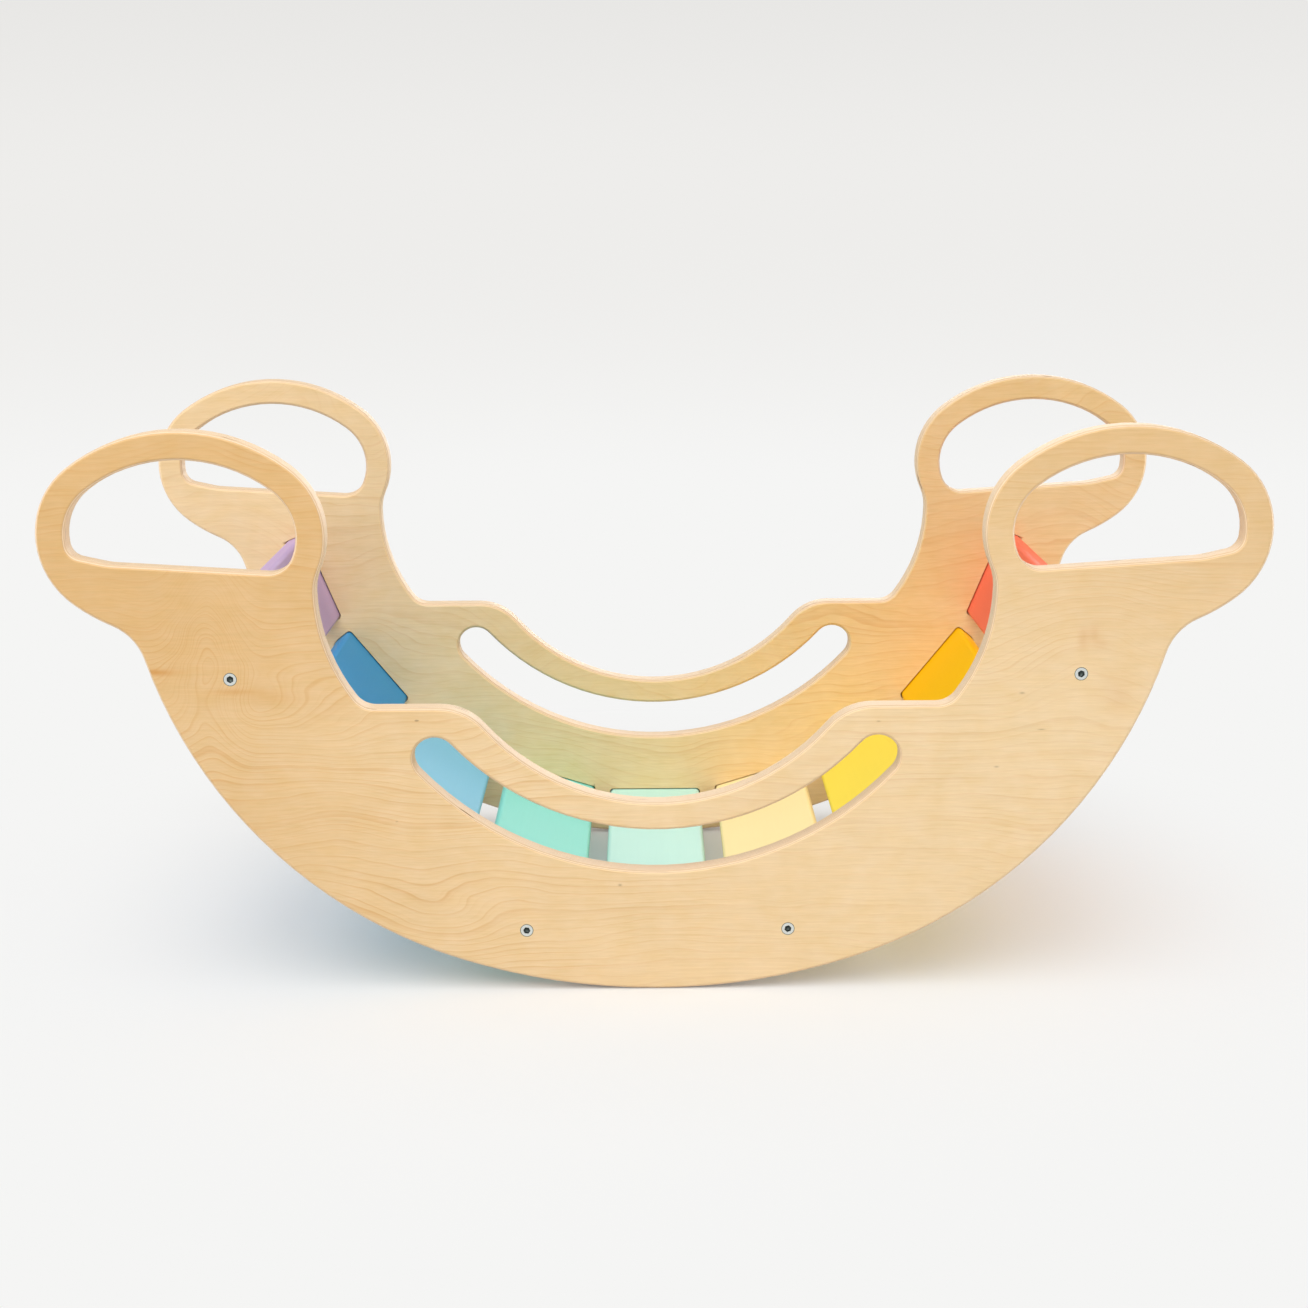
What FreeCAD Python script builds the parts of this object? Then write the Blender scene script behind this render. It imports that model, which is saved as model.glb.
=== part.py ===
# Balance rocker: two plywood side panels joined by nine painted slats.
#
# The origin is on the floor, under the middle of the rocker. X runs along its length, Y across it
# from the front panel to the rear panel, and Z up. All sizes are in millimetres and degrees.
# Angles of arcs and slats are measured from straight down, positive towards +X.

import FreeCAD
import Part
import math
import os

from FreeCAD import Vector

# Overall
width_over_panels = 407.0
panel_thickness = 18.0
panel_edge_break = 2.0

# Rocker edge: a flatter middle arc that runs tangent into a tighter arc at each end
rocker_middle_radius = 462.0
rocker_middle_half_angle = 18.5
rocker_end_radius = 348.5

# Grip rings: an oval of four arcs at each end of the panel, with a hand hole
grip_centre_x = 339.4
grip_centre_z = 345.0
grip_half_length = 103.4
grip_half_height = 75.9
grip_end_radius = 62.0
grip_ring_width = 21.0
hand_hole_floor_drop = 23.4
hand_hole_floor_slope = 3.6
hand_hole_knee_offset = 53.0
hand_hole_knee_slope = 12.5
hand_hole_knee_radius = 60.0
hand_hole_inner_radius = 19.0
hand_hole_outer_radius = 11.5
shoulder_fillet = 39.3
neck_fillet = 38.0

# Cradle: a round seat between two rounded humps, a flat shelf each side, and bowed ends
cradle_half_width = 245.0
cradle_end_radius = 133.0
cradle_end_centre_z = 303.5
shelf_z = 217.7
shelf_corner_radius = 17.8
hump_radius = 44.0
seat_radius = 166.0
seat_bottom_z = 145.1

# Curved slot under the seat
slot_width = 31.9
slot_bend_radius = 220.3
slot_middle_z = 108.3
slot_half_angle = 47.4

# Slats, set round a circle like staves, with each end housed in a pocket of the panel.
# A slat rests on the outer wall of its pockets, so all the play shows along its inner face.
slat_names = (
    "lilac",
    "blue",
    "light_blue",
    "turquoise",
    "mint",
    "pale_yellow",
    "yellow",
    "amber",
    "coral",
)
slat_width = 82.4
slat_thickness = 18.0
slat_edge_round = 4.0
slat_circle_radius = 332.7
slat_lowest_z = 32.4
slat_step_angle = 17.0
pocket_depth = 6.0
pocket_play = 1.0
pocket_side_clearance = 0.6
pocket_end_clearance = 0.2

# Screws, through the panels into the ends of these slats
screwed_slats = ("lilac", "turquoise", "pale_yellow", "coral")
screw_length = 50.0
screw_head_diameter = 10.0
screw_head_depth = 2.2
screw_shank_diameter = 6.0
screw_socket_sides = 6
screw_socket_across_flats = 4.0
screw_socket_depth = 3.2
screw_clearance = 0.2
pilot_hole_spare = 2.0

# Worked out from the sizes above
through = Vector(0, panel_thickness, 0)
slat_end_depth = panel_thickness - pocket_depth + pocket_end_clearance
slat_length = width_over_panels - 2 * slat_end_depth
slat_circle_centre_z = slat_lowest_z + slat_circle_radius
touching = 1e-6


def at(x, z):
    """A point of the panel's outline, on its face at y = 0."""
    return Vector(x, 0, z)


def point_on(centre, radius, angle):
    """The point of a circle at an angle from straight down."""
    turn = math.radians(angle)
    return centre + Vector(radius * math.sin(turn), 0, -radius * math.cos(turn))


def angle_of(centre, point):
    """The angle from straight down at which a point is seen from a centre."""
    return math.degrees(math.atan2(point.x - centre.x, centre.z - point.z))


def arc(centre, radius, start, end):
    """A circular arc between two angles from straight down."""
    angles = (start, (start + end) / 2, end)
    return Part.Arc(*[point_on(centre, radius, angle) for angle in angles]).toShape()


def level_crossing(centre, radius, z):
    """How far from the circle's centre, sideways, it crosses the height z."""
    return math.sqrt(radius**2 - (z - centre.z) ** 2)


def line(start, end):
    return Part.LineSegment(start, end).toShape()


def closed_wire(edges):
    return Part.Wire(Part.__sortEdges__(edges))


def prism(wire):
    """The wire filled and extruded through the thickness of a panel."""
    return Part.Face(wire).extrude(through)


def mirrored(shape):
    """The same shape on the other side of the middle."""
    return shape.mirror(Vector(0, 0, 0), Vector(1, 0, 0))


def meeting_points(wire, other):
    """Where two wires cross, from the inner to the outer point."""
    points = [vertex.Point for vertex in wire.section(other).Vertexes]
    return sorted(points, key=lambda point: point.x)


def upright_edge(solid, corner):
    """The straight edge through the panel's thickness at a corner of the outline."""

    def distance(edge):
        first, last = edge.Vertexes[0].Point, edge.Vertexes[-1].Point
        return max(math.hypot(p.x - corner.x, p.z - corner.z) for p in (first, last))

    return min((edge for edge in solid.Edges if len(edge.Vertexes) == 2), key=distance)


def round_corners(solid, radius, corners):
    """Rounds the upright edges at the given corners."""
    return solid.makeFillet(radius, [upright_edge(solid, corner) for corner in corners])


def both_sides(points):
    return list(points) + [Vector(-point.x, point.y, point.z) for point in points]


# Panel

seat_centre = at(0, seat_bottom_z + seat_radius)
hump_corner = at(level_crossing(seat_centre, seat_radius, shelf_z), shelf_z)
cradle_end_centre = at(cradle_half_width - cradle_end_radius, cradle_end_centre_z)
shelf_corner = at(
    cradle_end_centre.x + level_crossing(cradle_end_centre, cradle_end_radius, shelf_z), shelf_z
)


def body_wire():
    """The panel's outline below the grips, closed along the middle height of the grip rings."""
    middle_centre = at(0, rocker_middle_radius)
    radius_step = rocker_middle_radius - rocker_end_radius
    end_centre = point_on(middle_centre, radius_step, rocker_middle_half_angle)
    end_reach = level_crossing(end_centre, rocker_end_radius, grip_centre_z)
    end_top = at(end_centre.x + end_reach, grip_centre_z)
    side_reach = level_crossing(cradle_end_centre, cradle_end_radius, grip_centre_z)
    side_top = at(cradle_end_centre.x + side_reach, grip_centre_z)

    right_half = [
        arc(end_centre, rocker_end_radius, rocker_middle_half_angle, angle_of(end_centre, end_top)),
        line(end_top, side_top),
        arc(
            cradle_end_centre,
            cradle_end_radius,
            angle_of(cradle_end_centre, side_top),
            angle_of(cradle_end_centre, shelf_corner),
        ),
        line(shelf_corner, hump_corner),
    ]
    seat_half_angle = angle_of(seat_centre, hump_corner)
    middle = [
        arc(middle_centre, rocker_middle_radius, -rocker_middle_half_angle, rocker_middle_half_angle),
        arc(seat_centre, seat_radius, -seat_half_angle, seat_half_angle),
    ]
    return closed_wire(middle + right_half + [mirrored(edge) for edge in right_half])


def oval_wire(inset):
    """The right-hand grip's oval of four tangent arcs, moved inwards by an inset."""
    centre = at(grip_centre_x, grip_centre_z)
    end_offset = grip_half_length - grip_end_radius
    rise = grip_half_height - grip_end_radius
    side_offset = (end_offset**2 - rise**2) / (2 * rise)
    side_radius = grip_half_height + side_offset - inset
    end_radius = grip_end_radius - inset
    joint = math.degrees(math.atan2(end_offset, side_offset))
    return closed_wire(
        [
            arc(centre + at(0, side_offset), side_radius, -joint, joint),
            arc(centre + at(end_offset, 0), end_radius, joint, 180 - joint),
            arc(centre - at(0, side_offset), side_radius, 180 - joint, 180 + joint),
            arc(centre - at(end_offset, 0), end_radius, 180 + joint, 360 - joint),
        ]
    )


def panel_blank():
    """The panel's outer shape: body and grip rings run together with rounded corners."""
    outline = body_wire()
    ring = oval_wire(0)
    neck, shoulder = meeting_points(ring, outline)
    blank = prism(outline).fuse([prism(ring), mirrored(prism(ring))]).removeSplitter()
    blank = round_corners(blank, neck_fillet, both_sides([neck]))
    blank = round_corners(blank, shoulder_fillet, both_sides([shoulder]))
    blank = round_corners(blank, shelf_corner_radius, both_sides([shelf_corner]))
    return round_corners(blank, hump_radius, both_sides([hump_corner]))


def uphill(start, run, slope):
    """The point that lies a run further along +X, up a slope in degrees."""
    return start + at(run, run * math.tan(math.radians(slope)))


def hand_hole():
    """The right-hand hand hole: the ring's oval, cut off below by a floor that rises outwards."""
    oval = oval_wire(grip_ring_width)
    floor_middle = at(grip_centre_x, grip_centre_z - hand_hole_floor_drop)
    start = uphill(floor_middle, -grip_half_length, hand_hole_floor_slope)
    knee = uphill(floor_middle, hand_hole_knee_offset, hand_hole_floor_slope)
    end = uphill(knee, grip_half_length - hand_hole_knee_offset, hand_hole_knee_slope)
    roof = at(0, 2 * grip_half_height)
    above_floor = Part.makePolygon([start, knee, end, end + roof, start + roof, start])
    inner_corner, outer_corner = meeting_points(oval, Part.makePolygon([start, knee, end]))
    hole = prism(oval).common(prism(above_floor))
    hole = round_corners(hole, hand_hole_inner_radius, [inner_corner])
    hole = round_corners(hole, hand_hole_outer_radius, [outer_corner])
    return round_corners(hole, hand_hole_knee_radius, [knee])


def curved_slot():
    """The slot's full width all along its bend, with round ends."""
    bend_centre = at(0, slot_middle_z + slot_bend_radius)
    half_width = slot_width / 2
    end_centre = point_on(bend_centre, slot_bend_radius, slot_half_angle)
    right_end = arc(end_centre, half_width, slot_half_angle, slot_half_angle + 180)
    edges = [
        arc(bend_centre, slot_bend_radius + half_width, -slot_half_angle, slot_half_angle),
        arc(bend_centre, slot_bend_radius - half_width, -slot_half_angle, slot_half_angle),
        right_end,
        mirrored(right_end),
    ]
    return prism(closed_wire(edges))


def break_edges(panel):
    """Takes the sharp edge off the outline and its openings, on both faces."""
    rims = []
    for edge in panel.Edges:
        box = edge.BoundBox
        on_outside = abs(box.YMin) < touching and abs(box.YMax) < touching
        on_inside = abs(box.YMin - panel_thickness) < touching
        if on_outside or on_inside:
            rims.append(edge)
    return panel.makeChamfer(panel_edge_break, rims)


# Slats and screws

def slat_angle(name):
    return (slat_names.index(name) - (len(slat_names) - 1) / 2) * slat_step_angle


def slat_centre(name):
    return point_on(at(0, slat_circle_centre_z), slat_circle_radius, slat_angle(name))


def bar(width, length, thickness):
    """A square-edged bar along Y round the origin."""
    return Part.makeBox(width, length, thickness, Vector(-width / 2, -length / 2, -thickness / 2))


def pocket_cutter():
    """The bar whose ends hollow out a slat's two pockets, level with the slat's outer face."""
    cutter = bar(
        slat_width + 2 * pocket_side_clearance,
        slat_length + 2 * pocket_end_clearance,
        slat_thickness + pocket_play,
    )
    return moved(cutter, Vector(0, 0, pocket_play / 2))


def in_slat_place(shape, name):
    """A shape made round the origin, turned and moved to the place of a slat."""
    copy = shape.copy()
    copy.rotate(Vector(0, 0, 0), Vector(0, 1, 0), -slat_angle(name))
    return moved(copy, slat_centre(name))


def turned(profile):
    """A solid of revolution round the Y axis from (radius, depth) pairs."""
    points = [Vector(radius, depth, 0) for radius, depth in profile]
    face = Part.Face(Part.makePolygon(points + points[:1]))
    return face.revolve(Vector(0, 0, 0), Vector(0, 1, 0), 360)


def screw():
    """A countersunk screw with a socket along +Y, its head's face at y = 0."""
    head = screw_head_diameter / 2
    shank = screw_shank_diameter / 2
    body = turned(
        [(0, 0), (head, 0), (shank, screw_head_depth), (shank, screw_length), (0, screw_length)]
    )
    side_angle = 360 / screw_socket_sides
    corner_radius = screw_socket_across_flats / 2 / math.cos(math.radians(side_angle / 2))
    turns = range(screw_socket_sides + 1)
    corners = [point_on(at(0, 0), corner_radius, side_angle * turn) for turn in turns]
    socket = Part.Face(Part.makePolygon(corners)).extrude(Vector(0, screw_socket_depth, 0))
    return body.cut(socket)


def screw_hole():
    """The hole for a screw in a panel: a seat for the head's cone, and a loose bore."""
    head = screw_head_diameter / 2
    shank = screw_shank_diameter / 2
    bore = shank + screw_clearance
    seat_depth = screw_head_depth * (head - bore) / (head - shank)
    return turned(
        [(0, 0), (head, 0), (bore, seat_depth), (bore, panel_thickness), (0, panel_thickness)]
    )


def pilot_hole():
    """The hole for a screw's thread in the end of a slat."""
    start = Vector(0, slat_end_depth, 0)
    depth = screw_length - slat_end_depth + pilot_hole_spare
    return Part.makeCylinder(screw_shank_diameter / 2, depth, start, Vector(0, 1, 0))


def moved(shape, place):
    copy = shape.copy()
    copy.translate(place)
    return copy


def turned_round(shape):
    """The same piece at the rear, turned half round the upright axis."""
    copy = shape.copy()
    copy.rotate(Vector(0, 0, 0), Vector(0, 0, 1), 180)
    return copy


front_y = Vector(0, -width_over_panels / 2, 0)
screw_places = [slat_centre(name) + front_y for name in screwed_slats]


def front_panel():
    right_hole = hand_hole()
    panel = panel_blank().cut([right_hole, mirrored(right_hole), curved_slot()])
    panel = moved(break_edges(panel), front_y)
    pockets = [in_slat_place(pocket_cutter(), name) for name in slat_names]
    holes = [moved(screw_hole(), place) for place in screw_places]
    return panel.cut(pockets).cut(holes)


def slat(name):
    body = bar(slat_width, slat_length, slat_thickness)
    long_edges = [edge for edge in body.Edges if edge.BoundBox.YLength > slat_length - touching]
    body = in_slat_place(body.makeFillet(slat_edge_round, long_edges), name)
    if name in screwed_slats:
        front_hole = moved(pilot_hole(), slat_centre(name) + front_y)
        rear_hole = front_hole.mirror(Vector(0, 0, 0), Vector(0, 1, 0))
        body = body.cut([front_hole, rear_hole])
    return body


def front_screws():
    return Part.Compound([moved(screw(), place) for place in screw_places])


def single_solid(shape):
    """The one solid that a chain of cuts leaves."""
    if len(shape.Solids) != 1:
        raise ValueError("expected one solid, found %d" % len(shape.Solids))
    return shape.Solids[0]


def main():
    os.makedirs("parts", exist_ok=True)
    panel = single_solid(front_panel())
    screws = front_screws()
    nodes = {
        "front_panel": panel,
        "rear_panel": turned_round(panel),
        "front_screws": screws,
        "rear_screws": turned_round(screws),
    }
    for name in slat_names:
        nodes["slat_" + name] = single_solid(slat(name))
    for name, shape in nodes.items():
        shape.exportStep("parts/%s.step" % name)
        box = shape.BoundBox
        print(name, shape.isValid(), len(shape.Solids), round(shape.Volume), box)


main()
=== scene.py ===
"""Dresses the balance rocker: plywood panels with rounded edges, painted slats, plated screws."""

import bmesh
import bpy
import math

from mathutils import Matrix, Vector


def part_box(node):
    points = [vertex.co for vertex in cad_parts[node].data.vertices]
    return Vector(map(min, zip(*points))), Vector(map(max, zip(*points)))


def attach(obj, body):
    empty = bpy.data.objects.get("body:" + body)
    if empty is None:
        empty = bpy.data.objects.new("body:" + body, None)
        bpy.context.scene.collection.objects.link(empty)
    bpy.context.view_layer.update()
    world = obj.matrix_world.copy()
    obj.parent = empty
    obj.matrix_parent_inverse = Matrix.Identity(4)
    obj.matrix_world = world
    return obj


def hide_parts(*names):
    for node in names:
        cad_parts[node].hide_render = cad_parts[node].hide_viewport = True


bl_info = {
    "name": "Balance Rocker",
    "version": (1, 0, 0),
    "blender": (4, 5, 0),
    "location": "View3D > Sidebar > Rocker",
    "description": "Dresses a child's balance rocker and lights it on a pale floor",
    "category": "Object",
}

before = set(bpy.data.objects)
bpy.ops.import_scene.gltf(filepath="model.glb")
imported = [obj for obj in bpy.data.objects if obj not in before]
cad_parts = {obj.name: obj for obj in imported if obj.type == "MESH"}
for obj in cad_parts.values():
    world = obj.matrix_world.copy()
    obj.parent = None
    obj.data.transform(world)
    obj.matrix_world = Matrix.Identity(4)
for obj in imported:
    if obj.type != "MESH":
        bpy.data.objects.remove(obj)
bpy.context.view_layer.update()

BODY = "root"
PANELS = ("front_panel", "rear_panel")
SCREWS = ("front_screws", "rear_screws")
SLATS = ("lilac", "blue", "light_blue", "turquoise", "mint", "pale_yellow", "yellow", "amber", "coral")
SCREWED_SLATS = ("lilac", "turquoise", "pale_yellow", "coral")
MILLIMETRE = 0.001

panel_low, panel_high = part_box("rear_panel")
INNER_FACE = panel_low[1] / MILLIMETRE
PANEL_THICKNESS = (panel_high[1] - panel_low[1]) / MILLIMETRE


def shown(red, green, blue):
    """The linear colour of a surface that shows with these display values, from 0 to 255."""

    def channel(value):
        value = value / 255
        return value / 12.92 if value <= 0.04045 else ((value + 0.055) / 1.055) ** 2.4

    return tuple(channel(value) for value in (red, green, blue))


# Shader maths

class Wire:
    """One output of a shader node, for use in Python sums."""

    def __init__(self, shader, socket):
        self.shader = shader
        self.socket = socket

    def out(self, name):
        """Another output of the same node."""
        return Wire(self.shader, self.socket.node.outputs[name])

    def maths(self, operation, *others):
        return self.shader.maths(operation, self, *others)

    def __add__(self, other):
        return self.maths("ADD", other)

    def __radd__(self, other):
        return self.shader.maths("ADD", other, self)

    def __sub__(self, other):
        return self.maths("SUBTRACT", other)

    def __rsub__(self, other):
        return self.shader.maths("SUBTRACT", other, self)

    def __mul__(self, other):
        return self.maths("MULTIPLY", other)

    def __rmul__(self, other):
        return self.shader.maths("MULTIPLY", other, self)

    def __truediv__(self, other):
        return self.maths("DIVIDE", other)

    def __rtruediv__(self, other):
        return self.shader.maths("DIVIDE", other, self)

    def __pow__(self, other):
        return self.maths("POWER", other)

    def __neg__(self):
        return self.maths("MULTIPLY", -1)

    def __abs__(self):
        return self.maths("ABSOLUTE")

    def floor(self):
        return self.maths("FLOOR")

    def fraction(self):
        return self.maths("FRACT")

    def exp(self):
        return self.maths("EXPONENT")

    def above(self, limit):
        return self.maths("GREATER_THAN", limit)

    def ramp(self, low, high):
        """0 below low, 1 above high and a smooth rise between them."""
        settings = {"interpolation_type": "SMOOTHSTEP"}
        sockets = {"Value": self, "From Min": low, "From Max": high}
        return self.shader.add("MapRange", settings, sockets)


class Shader:
    """A material or a world that is put together node by node."""

    def __init__(self, owner):
        owner.use_nodes = True
        self.owner = owner
        self.tree = owner.node_tree
        self.tree.nodes.clear()

    def add(self, kind, settings=None, sockets=None):
        """Adds a node, sets it, feeds its sockets and gives its first output."""
        node = self.tree.nodes.new("ShaderNode" + kind)
        for name, value in (settings or {}).items():
            setattr(node, name, value)
        for key, value in (sockets or {}).items():
            if isinstance(key, str):
                socket = next(s for s in node.inputs if s.enabled and s.name == key)
            else:
                socket = node.inputs[key]
            if isinstance(value, Wire):
                self.tree.links.new(value.socket, socket)
            else:
                socket.default_value = value
        return Wire(self, next((s for s in node.outputs if s.enabled), None))

    def maths(self, operation, *values):
        return self.add("Math", {"operation": operation}, dict(enumerate(values)))

    def mix(self, factor, first, second):
        """The first colour where the factor is 0 and the second where it is 1."""
        sockets = {"Factor": factor, "A": colour_value(first), "B": colour_value(second)}
        return self.add("Mix", {"data_type": "RGBA"}, sockets)

    def scaled(self, colour, factor):
        """A colour made lighter or darker."""
        return self.add("VectorMath", {"operation": "SCALE"}, {"Vector": colour, "Scale": factor})

    def noise(self, place, scale, detail=2.0):
        """Soft noise from 0 to 1, with its own number of waves to the metre along X, Y and Z."""
        stretched = self.add("VectorMath", {"operation": "MULTIPLY"}, {0: place, 1: scale})
        return self.add("TexNoise", None, {"Vector": stretched, "Scale": 1.0, "Detail": detail})

    def place(self):
        return self.add("TexCoord").out("Object")

    def seen(self):
        """1 for what the camera sees, straight or mirrored, and 0 for light on its way to a surface."""
        path = self.add("LightPath")
        return path.out("Is Camera Ray") + path.out("Is Glossy Ray") + path.out("Is Transmission Ray")

    def finish(self, surface):
        kind = "OutputWorld" if isinstance(self.owner, bpy.types.World) else "OutputMaterial"
        self.add(kind, None, {"Surface": surface})
        return self.owner


def new_shader(name):
    return Shader(bpy.data.materials.new(name))


def colour_value(colour):
    return colour if isinstance(colour, Wire) else (*colour, 1.0)


# Sizes and colours that a user would change

def colour_property(name, description, default):
    return bpy.props.FloatVectorProperty(
        name=name, description=description, default=default, subtype="COLOR", size=3, min=0, max=1
    )


def length_property(name, description, millimetres):
    return bpy.props.FloatProperty(
        name=name, description=description, default=millimetres * MILLIMETRE, unit="LENGTH", precision=4
    )


def angle_property(name, description, degrees):
    return bpy.props.FloatProperty(
        name=name, description=description, default=math.radians(degrees), subtype="ANGLE"
    )


def power_property(name, description, watts):
    return bpy.props.FloatProperty(name=name, description=description, default=watts, unit="POWER")


def group_property(kind, name, description):
    return bpy.props.PointerProperty(type=kind, name=name, description=description)


class PlywoodSettings(bpy.types.PropertyGroup):
    """The birch plywood of the two panels."""

    pale: colour_property("Pale veneer", "Veneer in its lightest stretches", shown(243, 214, 168))
    warm: colour_property("Warm veneer", "Veneer in its darker stretches", shown(223, 182, 124))
    rear_warm: colour_property("Golden veneer", "Darker stretches of the rear panel", shown(221, 185, 102))
    line: colour_property("Ring lines", "Growth rings that the cut runs through", shown(212, 153, 80))
    fleck: colour_property("Flecks", "Small dark flecks in the veneer", shown(120, 74, 40))
    arris: colour_property("Arris", "Softened edge of the face veneer", shown(247, 220, 182))
    long_ply: colour_property("Ply, long grain", "Edges of plies cut along the grain", shown(240, 216, 181))
    end_ply: colour_property("Ply, end grain", "Edges of plies cut across the grain", shown(224, 193, 155))
    glue: colour_property("Glue lines", "Glue between the plies", shown(164, 116, 78))
    plies: bpy.props.IntProperty(name="Plies", description="Layers in the panel", default=13, min=3)
    ring_spacing: length_property("Ring spacing", "From one ring line to the next", 6.4)
    edge_round: length_property("Edge round", "How far the edge break is rounded to each side", 0.6)
    pocket_round: length_property("Pocket corner", "Cutter radius in the corners of the pockets", 3.5)


class PaintSettings(bpy.types.PropertyGroup):
    """The nine colours of the slats."""

    lilac: colour_property("Lilac", "First slat from the left", shown(191, 166, 205))
    blue: colour_property("Blue", "Second slat", shown(66, 155, 211))
    light_blue: colour_property("Light blue", "Third slat", shown(138, 206, 236))
    turquoise: colour_property("Turquoise", "Fourth slat", shown(147, 229, 216))
    mint: colour_property("Mint", "Middle slat", shown(195, 238, 226))
    pale_yellow: colour_property("Pale yellow", "Sixth slat", shown(253, 233, 172))
    yellow: colour_property("Yellow", "Seventh slat", shown(253, 226, 82))
    amber: colour_property("Amber", "Eighth slat", shown(252, 193, 2))
    coral: colour_property("Coral", "Last slat", shown(250, 117, 88))


class ScrewSettings(bpy.types.PropertyGroup):
    """The screws through the panels into the slats."""

    plating_dark: colour_property("Plating, dark", "Darker clouds of the zinc", shown(205, 212, 210))
    plating_bright: colour_property("Plating, bright", "Lighter clouds of the zinc", shown(236, 238, 233))
    # The socket colours are painted shade: their dark stands in for the shadow inside the hexagon socket
    # and in the gap round the head.
    socket_painted_shade_dark: colour_property("Socket, dark", "Unpolished bottom of the socket", shown(52, 60, 58))
    socket_painted_shade_lighter: colour_property("Socket, bright", "Unpolished walls of the socket", shown(96, 104, 102))
    head: length_property("Head", "Width of the head", 9.8)
    # The rim bevel takes the socket's painted shade, a dark ring that stands in for the shadow in the gap
    # round the head.
    rim: length_property("Rim", "Width of the dull bevel round the head", 0.4)
    sink: length_property("Sink", "How far the head's face lies below the panel's", 0.02)
    shank: length_property("Shank", "Width of the shank, with its thread evened out", 6.0)
    length: length_property("Length", "Length with the head", 50.0)
    socket: length_property("Socket", "Width of the hexagon socket over its corners", 4.9)


class StageSettings(bpy.types.PropertyGroup):
    """The floor, the light and the camera."""

    floor: colour_property("Floor", "Floor near the rocker", shown(231, 231, 230))
    bright_floor: colour_property("Bright floor", "Floor round the shadow", shown(245, 245, 244))
    horizon: colour_property("Horizon", "Far floor and foot of the backdrop", shown(238, 237, 235))
    backdrop_top: colour_property("Backdrop, top", "Upper part of the backdrop", shown(231, 230, 228))
    room_light: bpy.props.FloatProperty(
        name="Room light", description="Strength of the even light from all round", default=0.38, min=0
    )
    top_light: power_property("Top light", "Power of the soft lamp above the front", 80.0)
    back_light: power_property("Back light", "Power of the soft lamp behind", 26.0)
    left_light: power_property("Left light", "Power of the low lamp on the left", 8.0)
    right_light: power_property("Right light", "Power of the low lamp on the right", 12.0)
    camera_place: bpy.props.FloatVectorProperty(
        name="Camera place",
        description="Where the camera stands",
        default=(-0.0059, -1.6773, 0.5888),
        size=3,
        subtype="TRANSLATION",
    )
    camera_pitch: angle_property("Pitch", "How far the camera looks down", 12.674)
    camera_yaw: angle_property("Yaw", "How far the camera turns to the right", 0.179)
    camera_roll: angle_property("Roll", "How far the camera leans to the right", 0.347)
    camera_lens: bpy.props.FloatProperty(
        name="Lens", description="Focal length", default=57.52, subtype="DISTANCE_CAMERA"
    )


class RockerSettings(bpy.types.PropertyGroup):
    """Everything that can be changed on the rocker."""

    plywood: group_property(PlywoodSettings, "Plywood", "Veneer, plies and edges of the panels")
    paint: group_property(PaintSettings, "Paint", "Colours of the slats")
    screws: group_property(ScrewSettings, "Screws", "Sizes and plating of the screws")
    stage: group_property(StageSettings, "Stage", "Floor, light and camera")


# Birch plywood

def lobe(x, z, centre_x, centre_z, reach_x, reach_z, most):
    """A value that is highest at a centre and dies away round it, with its places in millimetres."""
    across = (x - centre_x) / reach_x
    up = (z - centre_z) / reach_z
    return (-(across * across + up * up)).exp() * most


# Each rise of the outer veneers: its centre and reach along X and Z in millimetres, and the rings it lifts.
VENEER_RISES = (
    (-324, 268, 22, 75, -11),
    (-290, 220, 46, 22, 4.6),
    (-245, 194, 62, 18, 3),
    (-150, 50, 70, 24, 2.5),
    (312, 262, 60, 46, -5),
)

# Each stain and fleck on the front: its centre and reach along X and Z in millimetres, and its strength.
VENEER_STAINS = (
    (-360, 246, 14, 2.4, 0.9),
    (-304, 231, 16, 2.2, 0.7),
    (-281, 226, 22, 5, 0.35),
    (309, 267, 4, 8, 0.36),
    (317, 270, 4, 7, 0.36),
    (323, 263, 5, 4, 0.26),
    (336, 225, 11, 17, 0.18),
)
VENEER_FLECKS = (
    (266, 226.5, 1.8, 0.7, 0.45),
    (281, 199, 2.6, 0.5, 0.4),
    (249, 171, 1.7, 0.6, 0.4),
    (162, 206, 1.4, 0.6, 0.35),
    (-27.5, 82, 1.3, 0.9, 0.45),
)


# Depths below a panel's face, in millimetres, between which one thing passes into the next.
VENEER_TO_EDGE = (0.45, 0.65)
GLUE_STARTS = (0.4, 0.6)
GLUE_ENDS = (0.8, 1.0)
ARRIS_TO_PLIES = (1.2, 1.4)

# How much red, green and blue change where the wood is lighter, and where it is only paler.
LIGHT_TINT = (0.9, 1.0, 1.7)
PALE_TINT = (0.2, 0.5, 1.5)


def wood_tint(shader, colour, light, pallor):
    """A wood colour made lighter, or only paler and less golden."""
    changes = [light * lighter + pallor * paler + 1 for lighter, paler in zip(LIGHT_TINT, PALE_TINT)]
    factors = shader.add("CombineXYZ", None, dict(zip("XYZ", changes)))
    return shader.add("VectorMath", {"operation": "MULTIPLY"}, {0: colour, 1: factors})


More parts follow.
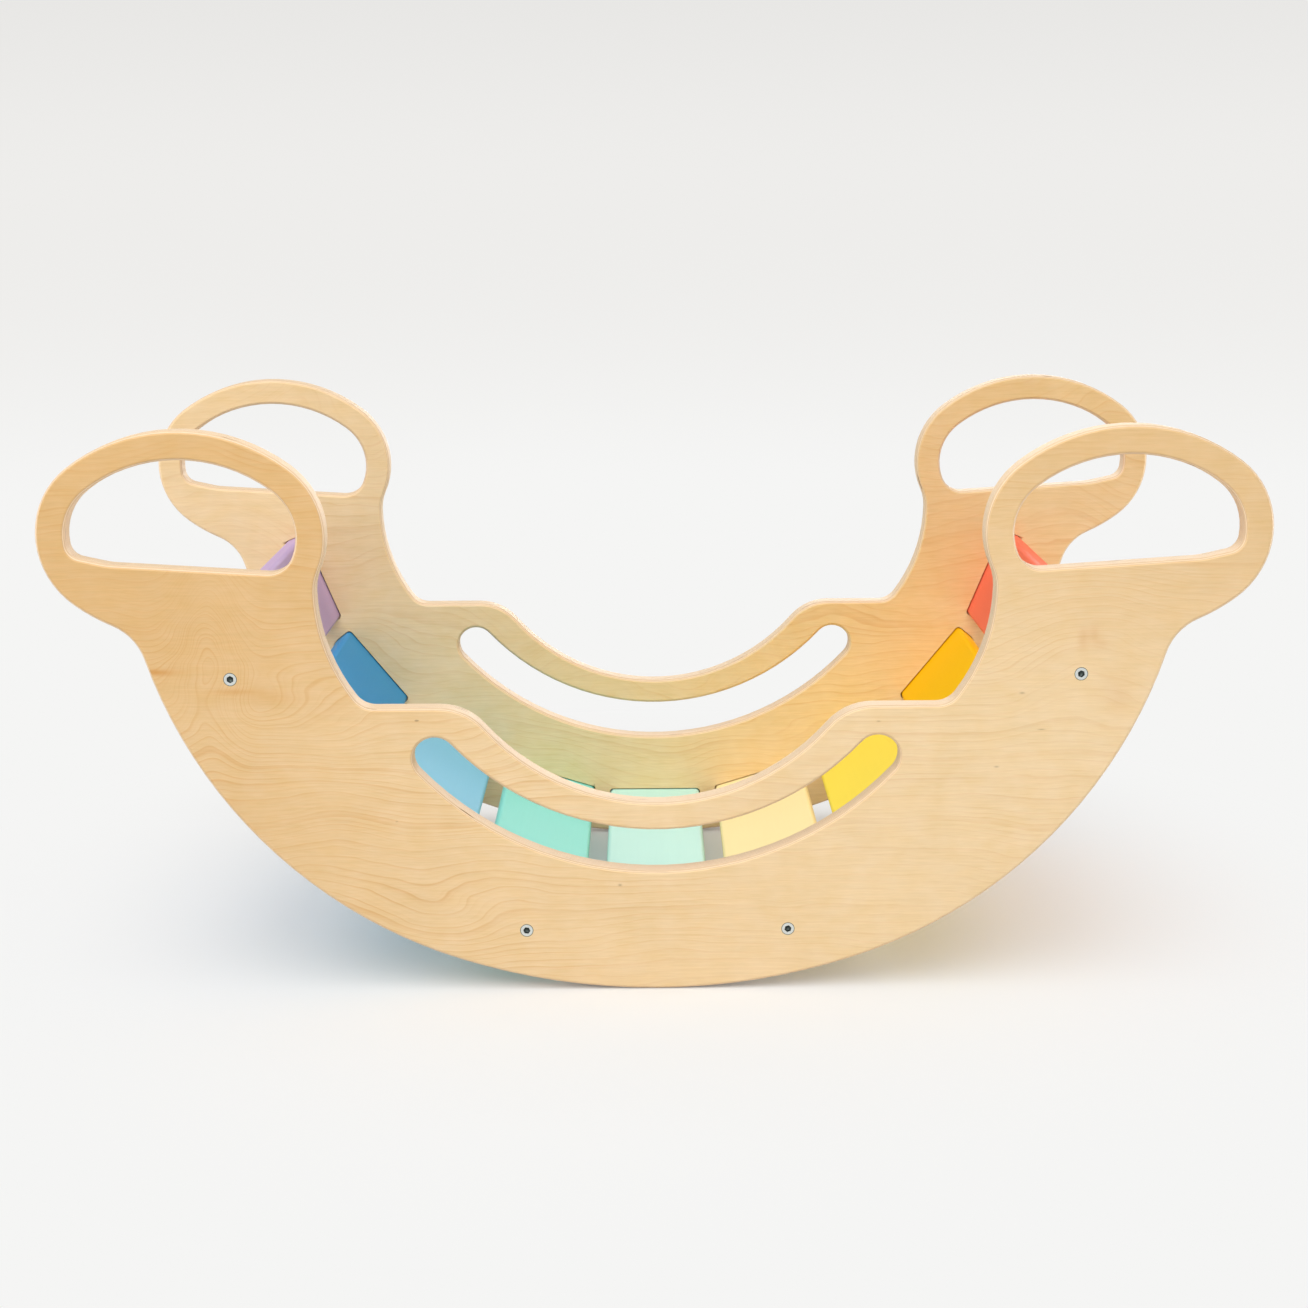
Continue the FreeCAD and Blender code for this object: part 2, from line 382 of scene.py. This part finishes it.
def veneer_figure(shader, settings, place, x, y, z):
    """The ring lines of the face veneer: contours of a slope with knotty rises and dips in it."""
    at_rear = y.above(0)
    mirrored_x = x * (at_rear * -2 + 1)
    drawn_x = mirrored_x + (shader.noise(place, (16.0, 25.0, 20.0), 2.0) - 0.5) * 18
    drawn_z = z + (shader.noise(place, (20.0, 29.0, 16.0), 2.0) - 0.5) * 14
    outside = (abs(y) - INNER_FACE).above(PANEL_THICKNESS / 2)
    knotty = sum(lobe(drawn_x, drawn_z, *rise) for rise in VENEER_RISES) * outside
    slope = z / (settings.ring_spacing / MILLIMETRE) * (1 - at_rear * 0.35)
    waviness = at_rear * 7 + 9 - x.ramp(-150, 150) * 4.5
    waves = (shader.noise(place, (7.0, 25.0, 7.0), 1.0) - 0.5) * waviness
    ripples = (shader.noise(place, (16.0, 25.0, 34.0), 2.0) - 0.5) * 1.6
    height = slope + knotty + waves + ripples
    sockets = {"W": height, "Scale": 0.7, "Detail": 1.0}
    uneven = shader.add("TexNoise", {"noise_dimensions": "1D"}, sockets)
    step = (height + uneven * 1.8).fraction()
    line = (step ** 6 * 1.3 + step * 0.04) * (1 - step.ramp(0.92, 1.0))
    strength = shader.noise(place, (11.0, 31.0, 24.0)).ramp(0.3, 0.72)
    fine = (height * 2.6 + uneven * 1.3).fraction() ** 3
    return line * (strength * 0.75 + 0.25) + fine * 0.15


def line_depth(x, at_rear):
    """How clearly the ring lines show: best at the left of the front panel."""
    rightward = x.ramp(-200, 60)
    return (0.64 - rightward * 0.36) * (1 - at_rear) + (rightward * 0.14 + 0.28) * at_rear


def veneer_ground(shader, settings, place, x, z, at_rear):
    """The lacquered wood between the ring lines, in warm and pale stretches."""
    stretch = shader.noise(place, (2.2, 20.0, 6.0))
    upper = ((z - 200) / 265).maths("MAXIMUM", 0) * (1 - at_rear * 0.6)
    sideways = x.maths("MINIMUM", 150) * (at_rear * 0.0017 - 0.0011)
    warmth = (stretch - 0.5) * 0.9 + 0.20 + sideways + upper
    golden = at_rear * x.ramp(-260, 0) * (1 - z.ramp(240, 340) * 0.7)
    deep_colour = shader.mix(golden, settings.warm, settings.rear_warm)
    return shader.mix(warmth.ramp(-0.1, 1.1), settings.pale, deep_colour)


def veneer_colour(shader, settings, place, x, y, z):
    """The face of a panel, with its ring lines, fibres and flecks, and the fibres by themselves."""
    at_rear = y.above(0)
    at_front = (-y).above(INNER_FACE + PANEL_THICKNESS / 2)
    colour = veneer_ground(shader, settings, place, x, z, at_rear)
    lines = veneer_figure(shader, settings, place, x, y, z) * line_depth(x, at_rear)
    colour = shader.mix(lines, colour, settings.line)
    cloud = shader.noise(place, (26.0, 26.0, 34.0), 3.0) - 0.5
    fibres = shader.noise(place, (24.0, 300.0, 620.0), 3.0) - 0.5
    pores = shader.noise(place, (90.0, 300.0, 1700.0), 1.0) - 0.5
    mottle = shader.noise(place, (60.0, 60.0, 90.0), 2.0) - 0.5
    colour = wood_tint(shader, colour, cloud * 0.10 + fibres * 0.17 + pores * 0.11, mottle * 0.24)
    stains = sum(lobe(x, z, *stain) for stain in VENEER_STAINS) * at_front
    colour = shader.mix(stains * (cloud * 2 + 0.8), colour, settings.line)
    specks = shader.noise(place, (60.0, 60.0, 170.0), 0.0).ramp(0.885, 0.91) * 0.5
    flecks = sum(lobe(x, z, *fleck) for fleck in VENEER_FLECKS) * at_front
    return shader.mix(specks + flecks, colour, settings.fleck), fibres + pores


def ply_edge_colour(shader, settings, place, layer, below_face):
    """The cut edges: a pale arris, then plies of both grains with glue lines and a few dark gaps."""
    crosswise = (layer.floor() / 2).fraction() * 2
    plies = shader.mix(crosswise, settings.long_ply, settings.end_ply)
    glue = abs(layer.fraction() - 0.5).ramp(0.38, 0.48)
    plies = shader.mix(glue * 0.45, plies, settings.glue)
    colour = shader.mix(below_face.ramp(*ARRIS_TO_PLIES), settings.arris, plies)
    veneer_glue = below_face.ramp(*GLUE_STARTS) * (1 - below_face.ramp(*GLUE_ENDS))
    colour = shader.mix(veneer_glue * 0.5, colour, settings.glue)
    speckle = shader.noise(place, (150.0, 900.0, 150.0), 2.0) - 0.5
    gap = shader.noise(place, (32.0, 640.0, 32.0), 0.0).ramp(0.765, 0.80) * crosswise
    return shader.scaled(shader.mix(gap * 0.75, colour, settings.fleck), speckle * 0.16 + 1)


def plywood(settings):
    """Birch plywood as a solid: plies by depth in the panel, figure on the two faces."""
    shader = new_shader("birch_plywood")
    place = shader.place()
    axes = shader.add("SeparateXYZ", None, {"Vector": place})
    x, y, z = (axes.out(name) / MILLIMETRE for name in "XYZ")
    depth = abs(y) - INNER_FACE
    layer = depth / (PANEL_THICKNESS / settings.plies)
    below_face = PANEL_THICKNESS / 2 - abs(depth - PANEL_THICKNESS / 2)
    on_face = 1 - below_face.ramp(*VENEER_TO_EDGE)
    face, fibres = veneer_colour(shader, settings, place, x, y, z)
    edge = ply_edge_colour(shader, settings, place, layer, below_face)
    sockets = {
        "Base Color": shader.mix(on_face, edge, face),
        "Roughness": 0.58 - on_face * 0.12 + fibres * 0.08,
        "Normal": shader.add("Bump", None, {"Strength": 0.12, "Distance": 0.0003, "Height": fibres}),
    }
    return shader.finish(shader.add("BsdfPrincipled", None, sockets))


# The edges of a panel's solid are told apart by how far they turn, in degrees, and by the screws near them.
EDGE_BREAK_TURN = (30, 60)
POCKET_TURN = 80
NEAR_SCREW = 8 * MILLIMETRE

# How near corners count as one, how little a flat face turns, and how far a sharp edge does.
SAME_PLACE = 0.002 * MILLIMETRE
FLAT_TURN = math.radians(0.5)
SHARP_TURN = math.radians(35)


def rounded_panel(node, settings):
    """A copy of a panel's solid with its edge breaks and the corners of its pockets rounded off."""
    mesh = merged_copy(node)
    axes = screw_axes()
    least_turn, most_turn = EDGE_BREAK_TURN
    rims = []
    corners = []
    for edge in mesh.edges:
        start, end = (vert.co for vert in edge.verts)
        middle = (start + end) / 2
        at_screw = any(math.hypot(middle.x - x, middle.z - z) < NEAR_SCREW for x, z in axes)
        turn = math.degrees(edge.calc_face_angle())
        if not at_screw and least_turn < turn < most_turn:
            rims.append(edge)
        if turn > POCKET_TURN and not edge.is_convex and abs(start.y - end.y) > MILLIMETRE:
            corners.append(edge)
    soften(mesh, rims, settings.edge_round, segments=3)
    soften(mesh, [edge for edge in corners if edge.is_valid], settings.pocket_round, segments=4)
    return new_piece(node + "_plywood", mesh)


def screw_axes():
    """Where the screws run, along Y: through the middles of the slats that they hold."""
    middles = [sum(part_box("slat_" + name), Vector()) / 2 for name in SCREWED_SLATS]
    return [(point.x, point.z) for point in middles]


def merged_copy(node):
    """A bmesh of a CAD node with its triangles joined up again."""
    mesh = bmesh.new()
    mesh.from_mesh(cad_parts[node].data)
    bmesh.ops.remove_doubles(mesh, verts=mesh.verts, dist=SAME_PLACE)
    bmesh.ops.dissolve_limit(
        mesh, angle_limit=FLAT_TURN, verts=mesh.verts, edges=mesh.edges, delimit={"NORMAL"}
    )
    return mesh


def soften(mesh, edges, reach, segments):
    """Rounds edges off."""
    bmesh.ops.bevel(
        mesh,
        geom=edges,
        offset=reach,
        offset_type="OFFSET",
        segments=segments,
        profile=0.5,
        affect="EDGES",
        clamp_overlap=True,
        material=-1,
    )


def new_piece(name, mesh):
    """A smooth-shaded object from a finished bmesh, flat where its faces are large."""
    data = bpy.data.meshes.new(name)
    mesh.to_mesh(data)
    mesh.free()
    data.shade_smooth()
    data.set_sharp_from_angle(angle=SHARP_TURN)
    piece = bpy.data.objects.new(name, data)
    bpy.context.scene.collection.objects.link(piece)
    normals = piece.modifiers.new("Even normals", "WEIGHTED_NORMAL")
    normals.keep_sharp = True
    return piece


# Painted slats and plated screws

# A screw's form. Its tip and its socket's bottom are these shares of the shank and the socket in width.
HEAD_SIDES = 32
HEAD_DEPTH = 2.2 * MILLIMETRE
RIM_DROP = 0.08 * MILLIMETRE
POINT_LENGTH = 2 * MILLIMETRE
POINT_SHARE = 0.6
SOCKET_SIDES = 6
SOCKET_FLARE = 0.5 * MILLIMETRE
FLARE_DEPTH = 0.3 * MILLIMETRE
SOCKET_DEPTH = 2.4 * MILLIMETRE
SOCKET_CONE = 1.0 * MILLIMETRE
CONE_SHARE = 0.3
TURN_TO_NEXT_SCREW = math.radians(23)


def paint(name, colour):
    """Opaque satin paint, rolled on wood whose grain shows faintly along the slat."""
    shader = new_shader("paint_" + name)
    place = shader.place()
    grain = shader.noise(place, (420.0, 14.0, 420.0), 3.0) - 0.5
    roller = shader.noise(place, (650.0, 650.0, 650.0), 2.0) - 0.5
    cloud = shader.noise(place, (14.0, 9.0, 14.0)) - 0.5
    height = grain * 0.6 + roller * 0.5
    sockets = {
        "Base Color": shader.scaled(colour, cloud * 0.06 + grain * 0.03 + 1),
        "Roughness": 0.42 + roller * 0.10 + cloud * 0.08,
        "Specular IOR Level": 0.05,
        "Normal": shader.add("Bump", None, {"Strength": 0.15, "Distance": 0.0002, "Height": height}),
    }
    return shader.finish(shader.add("BsdfPrincipled", None, sockets))


def drawn_on(mesh, loop, width, drop):
    """Carries a ring of edges on down the screw, to a new width and a depth further."""
    grown = bmesh.ops.extrude_edge_only(mesh, edges=loop)["geom"]
    verts = {item for item in grown if isinstance(item, bmesh.types.BMVert)}
    reach = max(math.hypot(vert.co.x, vert.co.y) for vert in verts)
    factor = width / 2 / reach
    bmesh.ops.scale(mesh, vec=(factor, factor, 1), verts=list(verts))
    bmesh.ops.translate(mesh, vec=(0, 0, -drop), verts=list(verts))
    edges = [item for item in grown if isinstance(item, bmesh.types.BMEdge)]
    return [edge for edge in edges if set(edge.verts) <= verts]


def ring_of(mesh, sides, width, depth):
    """A ring of edges round the screw's axis."""
    place = Matrix.Translation((0, 0, -depth))
    verts = bmesh.ops.create_circle(mesh, segments=sides, radius=width / 2, matrix=place)["verts"]
    return list({edge for vert in verts for edge in vert.link_edges})


def socket_screw(settings):
    """A countersunk screw with a hexagon socket, its head up and a hair below the origin."""
    mesh = bmesh.new()
    rim = ring_of(mesh, HEAD_SIDES, settings.head - 2 * settings.rim, settings.sink)
    mouth = ring_of(mesh, SOCKET_SIDES, settings.socket + SOCKET_FLARE, settings.sink)
    bmesh.ops.bridge_loops(mesh, edges=rim + mouth)
    bright = set(mesh.faces)
    rim = drawn_on(mesh, rim, settings.head, RIM_DROP)
    painted_shade_rim = set(mesh.faces) - bright
    rim = drawn_on(mesh, rim, settings.shank, HEAD_DEPTH - settings.sink - RIM_DROP)
    rim = drawn_on(mesh, rim, settings.shank, settings.length - HEAD_DEPTH - POINT_LENGTH)
    rim = drawn_on(mesh, rim, settings.shank * POINT_SHARE, POINT_LENGTH)
    outside = set(mesh.faces)
    outside.update(bmesh.ops.contextual_create(mesh, geom=rim)["faces"])
    mouth = drawn_on(mesh, mouth, settings.socket, FLARE_DEPTH)
    mouth = drawn_on(mesh, mouth, settings.socket, SOCKET_DEPTH)
    mouth = drawn_on(mesh, mouth, settings.socket * CONE_SHARE, SOCKET_CONE)
    bmesh.ops.contextual_create(mesh, geom=mouth)
    # The socket and the rim bevel take the second material, painted shade in place of the shadow in the
    # socket and round the head.
    for face in mesh.faces:
        face.material_index = 0 if face in outside - painted_shade_rim else 1
    bmesh.ops.recalc_face_normals(mesh, faces=mesh.faces)
    return mesh


def screw_set(node, settings):
    """The four screws of a panel, in the places of the CAD ones."""
    low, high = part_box(node)
    outward = 1 if low.y + high.y > 0 else -1
    face = high.y if outward > 0 else low.y
    upright = Matrix.Rotation(-outward * math.pi / 2, 4, "X")
    group = bmesh.new()
    for turn, (x, z) in enumerate(screw_axes()):
        one = socket_screw(settings)
        spin = Matrix.Rotation(TURN_TO_NEXT_SCREW * turn, 4, "Z")
        one.transform(Matrix.Translation((x, face, z)) @ upright @ spin)
        data = bpy.data.meshes.new("screw")
        one.to_mesh(data)
        one.free()
        group.from_mesh(data)
        bpy.data.meshes.remove(data)
    return new_piece(node + "_plated", group)


def plated_steel(name, dark, bright):
    """Zinc plating with a faint turned finish, or, in the socket's dark colours, painted shade."""
    shader = new_shader(name)
    cloud = shader.noise(shader.place(), (900.0, 900.0, 900.0), 2.0)
    sockets = {
        "Base Color": shader.mix(cloud, dark, bright),
        "Roughness": 0.26 + cloud * 0.16,
        "Metallic": 1.0,
    }
    return shader.finish(shader.add("BsdfPrincipled", None, sockets))


def dress(piece, *materials):
    """Gives a piece its materials."""
    for material in materials:
        piece.data.materials.append(material)


# Stage

FLOOR_RADIUS = 60
FLOOR_SIDES = 96
SENSOR_WIDTH = 36
MIDDLE_OF_ROCKER = (0, 0, 0.2)

# Where each lamp stands and how wide it is, in metres. All face the middle of the rocker.
LAMPS = {
    "top_light": ((-0.4, -1.4, 2.5), 3.0),
    "back_light": ((0.6, 2.8, 0.8), 1.4),
    "left_light": ((-2.0, 0.3, 0.2), 0.3),
    "right_light": ((2.0, 0.3, 0.2), 0.3),
}

# Distances on the floor, in metres, between which its shadow passes into the plain backdrop.
SHADOW_FADES = (0.12, 0.65)
SLATS_END = (0.14, 0.24)
REAR_PANEL_ENDS = (0.19, 0.27)


def backdrop_colour(shader, settings):
    """The colour of the backdrop, a little darker with height."""
    upward = shader.add("SeparateXYZ", None, {"Vector": shader.add("TexCoord")}).out("Z")
    return shader.mix(upward.ramp(0.0, 0.11), settings.horizon, settings.backdrop_top)


def floor_material(settings):
    """A pale floor that takes the object's shadow and passes into the backdrop further off."""
    shader = new_shader("pale_floor")
    place = shader.place()
    away = shader.add("VectorMath", {"operation": "LENGTH"}, {"Vector": place}).out("Value")
    behind = shader.add("SeparateXYZ", None, {"Vector": place}).out("Y").ramp(*REAR_PANEL_ENDS)
    paper = shader.add("BsdfDiffuse", None, {"Color": (*settings.floor, 1.0)})
    nearness = (1 / away).ramp(0.02, 0.4)
    far_colour = shader.mix(nearness, settings.horizon, settings.bright_floor)
    backdrop = shader.add("Emission", None, {"Color": far_colour})
    fade = 0.88 * away.ramp(*SHADOW_FADES) + 0.12 * away.ramp(*SLATS_END)
    fade = fade.maths("MAXIMUM", behind * 0.75)
    fade = (fade * shader.seen()).maths("MINIMUM", 1)
    return shader.finish(shader.add("MixShader", None, {0: fade, 1: paper, 2: backdrop}))


def floor_piece(settings):
    mesh = bmesh.new()
    bmesh.ops.create_circle(mesh, cap_ends=True, segments=FLOOR_SIDES, radius=FLOOR_RADIUS)
    data = bpy.data.meshes.new("floor")
    mesh.to_mesh(data)
    mesh.free()
    data.materials.append(floor_material(settings))
    floor = bpy.data.objects.new("floor", data)
    bpy.context.scene.collection.objects.link(floor)
    return floor


def light_room(settings):
    """Even light all round, with the backdrop's own colour for what the camera sees."""
    shader = Shader(bpy.data.worlds.new("room"))
    white = (1.0, 1.0, 1.0, 1.0)
    even = shader.add("Background", None, {"Color": white, "Strength": settings.room_light})
    backdrop = shader.add("Background", None, {"Color": backdrop_colour(shader, settings)})
    choice = shader.seen().maths("MINIMUM", 1)
    surface = shader.add("MixShader", None, {0: choice, 1: even, 2: backdrop})
    bpy.context.scene.world = shader.finish(surface)


def add_lamp(name, place, size, power):
    """A soft square lamp that faces the middle of the rocker."""
    lamp = bpy.data.lights.new(name, "AREA")
    lamp.size = size
    lamp.energy = power
    holder = bpy.data.objects.new(name, lamp)
    holder.location = place
    facing = Vector(MIDDLE_OF_ROCKER) - Vector(place)
    holder.rotation_euler = facing.to_track_quat("-Z", "Y").to_euler()
    bpy.context.scene.collection.objects.link(holder)


def add_camera(settings):
    camera = bpy.data.cameras.new("camera")
    camera.sensor_width = SENSOR_WIDTH
    camera.lens = settings.camera_lens
    holder = bpy.data.objects.new("camera", camera)
    turn = Matrix.Rotation(-settings.camera_yaw, 4, "Z")
    tilt = Matrix.Rotation(math.pi / 2 - settings.camera_pitch, 4, "X")
    lean = Matrix.Rotation(-settings.camera_roll, 4, "Z")
    holder.matrix_world = Matrix.Translation(settings.camera_place) @ turn @ tilt @ lean
    bpy.context.scene.collection.objects.link(holder)
    bpy.context.scene.camera = holder


# Operators

class ROCKER_OT_panels(bpy.types.Operator):
    """Make the two plywood panels with rounded edges"""

    bl_idname = "rocker.panels"
    bl_label = "Panels"

    def execute(self, context):
        settings = context.scene.rocker.plywood
        material = plywood(settings)
        for node in PANELS:
            piece = rounded_panel(node, settings)
            dress(piece, material)
            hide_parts(node)
            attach(piece, BODY)
        return {"FINISHED"}


class ROCKER_OT_slats(bpy.types.Operator):
    """Paint the nine slats"""

    bl_idname = "rocker.slats"
    bl_label = "Slats"

    def execute(self, context):
        settings = context.scene.rocker.paint
        for name in SLATS:
            node = "slat_" + name
            piece = new_piece(node + "_painted", merged_copy(node))
            dress(piece, paint(name, getattr(settings, name)))
            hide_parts(node)
            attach(piece, BODY)
        return {"FINISHED"}


class ROCKER_OT_screws(bpy.types.Operator):
    """Make the countersunk screws of both panels"""

    bl_idname = "rocker.screws"
    bl_label = "Screws"

    def execute(self, context):
        settings = context.scene.rocker.screws
        plating = plated_steel("zinc_plated_steel", settings.plating_dark, settings.plating_bright)
        # The second material is painted shade for the sockets and the head rims.
        shade = plated_steel("screw_socket", settings.socket_painted_shade_dark, settings.socket_painted_shade_lighter)
        for node in SCREWS:
            piece = screw_set(node, settings)
            dress(piece, plating, shade)
            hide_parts(node)
            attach(piece, BODY)
        return {"FINISHED"}


class ROCKER_OT_stage(bpy.types.Operator):
    """Set up the floor, the light and the camera"""

    bl_idname = "rocker.stage"
    bl_label = "Stage"

    def execute(self, context):
        settings = context.scene.rocker.stage
        floor_piece(settings)
        light_room(settings)
        for name, (place, size) in LAMPS.items():
            add_lamp(name, place, size, getattr(settings, name))
        add_camera(settings)
        context.scene.view_settings.view_transform = "Standard"
        return {"FINISHED"}


class ROCKER_PT_sidebar(bpy.types.Panel):
    """The rocker's pieces, in the order in which they are made"""

    bl_idname = "ROCKER_PT_sidebar"
    bl_label = "Balance Rocker"
    bl_space_type = "VIEW_3D"
    bl_region_type = "UI"
    bl_category = "Rocker"

    def draw(self, context):
        for operator in OPERATORS:
            self.layout.operator(operator.bl_idname)
        for group in ("plywood", "paint", "screws", "stage"):
            settings = getattr(context.scene.rocker, group)
            box = self.layout.box()
            box.label(text=group.capitalize())
            for name in settings.__annotations__:
                box.prop(settings, name)


OPERATORS = (ROCKER_OT_panels, ROCKER_OT_slats, ROCKER_OT_screws, ROCKER_OT_stage)
SETTINGS = (PlywoodSettings, PaintSettings, ScrewSettings, StageSettings, RockerSettings)
CLASSES = (*SETTINGS, *OPERATORS, ROCKER_PT_sidebar)


def register():
    for cls in CLASSES:
        bpy.utils.register_class(cls)
    bpy.types.Scene.rocker = bpy.props.PointerProperty(type=RockerSettings)


def unregister():
    del bpy.types.Scene.rocker
    for cls in reversed(CLASSES):
        bpy.utils.unregister_class(cls)


def main():
    register()
    bpy.ops.rocker.panels()
    bpy.ops.rocker.slats()
    bpy.ops.rocker.screws()
    bpy.ops.rocker.stage()


if __name__ == "__main__":
    main()
